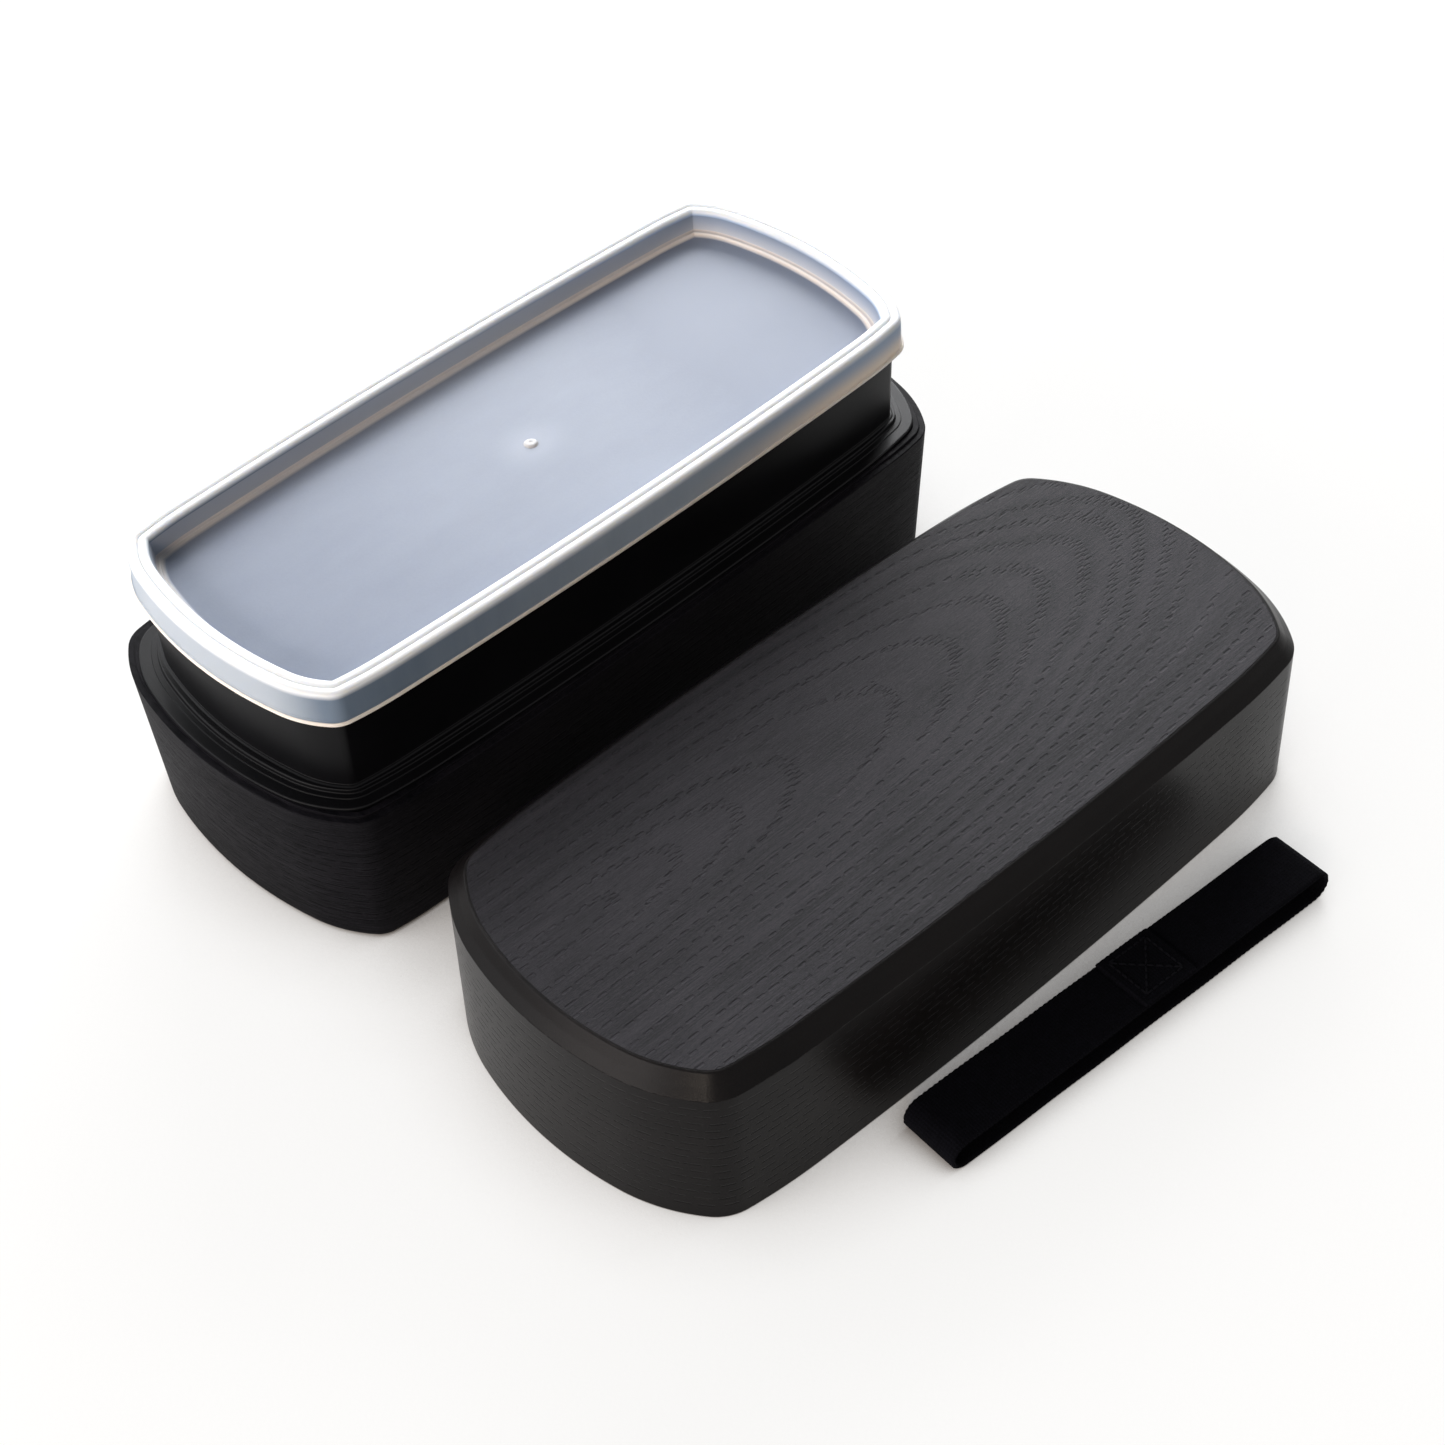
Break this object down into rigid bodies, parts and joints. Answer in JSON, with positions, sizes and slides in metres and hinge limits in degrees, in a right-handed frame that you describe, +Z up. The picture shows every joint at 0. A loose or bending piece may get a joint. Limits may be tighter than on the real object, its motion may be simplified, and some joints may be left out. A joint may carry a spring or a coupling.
{
  "type": "bento lunch box",
  "caption": "Slim two-tier lunch box: an open lower box, an upper box on a stepped foot with a sealing lid, a deep cover and an elastic band.",
  "frame": {"origin": "centre of the lower box's underside, on the table", "axes": "+X along the boxes, +Y across them away from the cover and the band, +Z up"},
  "size_m": [0.2263, 0.2532, 0.0804],
  "materials": {
    "lower_box": "matte black with a moulded wood grain",
    "divider": "satin black",
    "upper_box": "smooth satin black",
    "sealing_lid": "frosted translucent polyethylene",
    "cover": "matte charcoal with a moulded wood grain and a smooth chamfer",
    "band": "black woven elastic webbing",
    "thread": "black sewing thread"
  },
  "bodies": {
    "lower_box": {"lower_box": "lower_box"},
    "divider": {"divider": "divider"},
    "upper_box": {"upper_box": "upper_box"},
    "sealing_lid": {"sealing_lid": "sealing_lid"},
    "cover": {"cover": "cover"},
    "band": {"elastic_band": "band", "band_stitching": "thread"}
  },
  "joints": [
    {"name": "divider_slide", "type": "slide", "parent": "lower_box", "child": "divider", "axis": [1, 0, 0], "range_m": [-0.03, 0.03]},
    {"name": "upper_box_lift", "type": "slide", "parent": "lower_box", "child": "upper_box", "axis": [0, 0, 1], "range_m": [0, 0.06]},
    {"name": "sealing_lid_lift", "type": "slide", "parent": "upper_box", "child": "sealing_lid", "axis": [0, 0, 1], "range_m": [0, 0.04]},
    {"name": "cover_lift", "type": "slide", "parent": "lower_box", "child": "cover", "axis": [0, 0, 1], "range_m": [0, 0.09]},
    {"name": "band_lift", "type": "slide", "parent": "lower_box", "child": "band", "axis": [0, 0, 1], "range_m": [0, 0.09]}
  ]
}
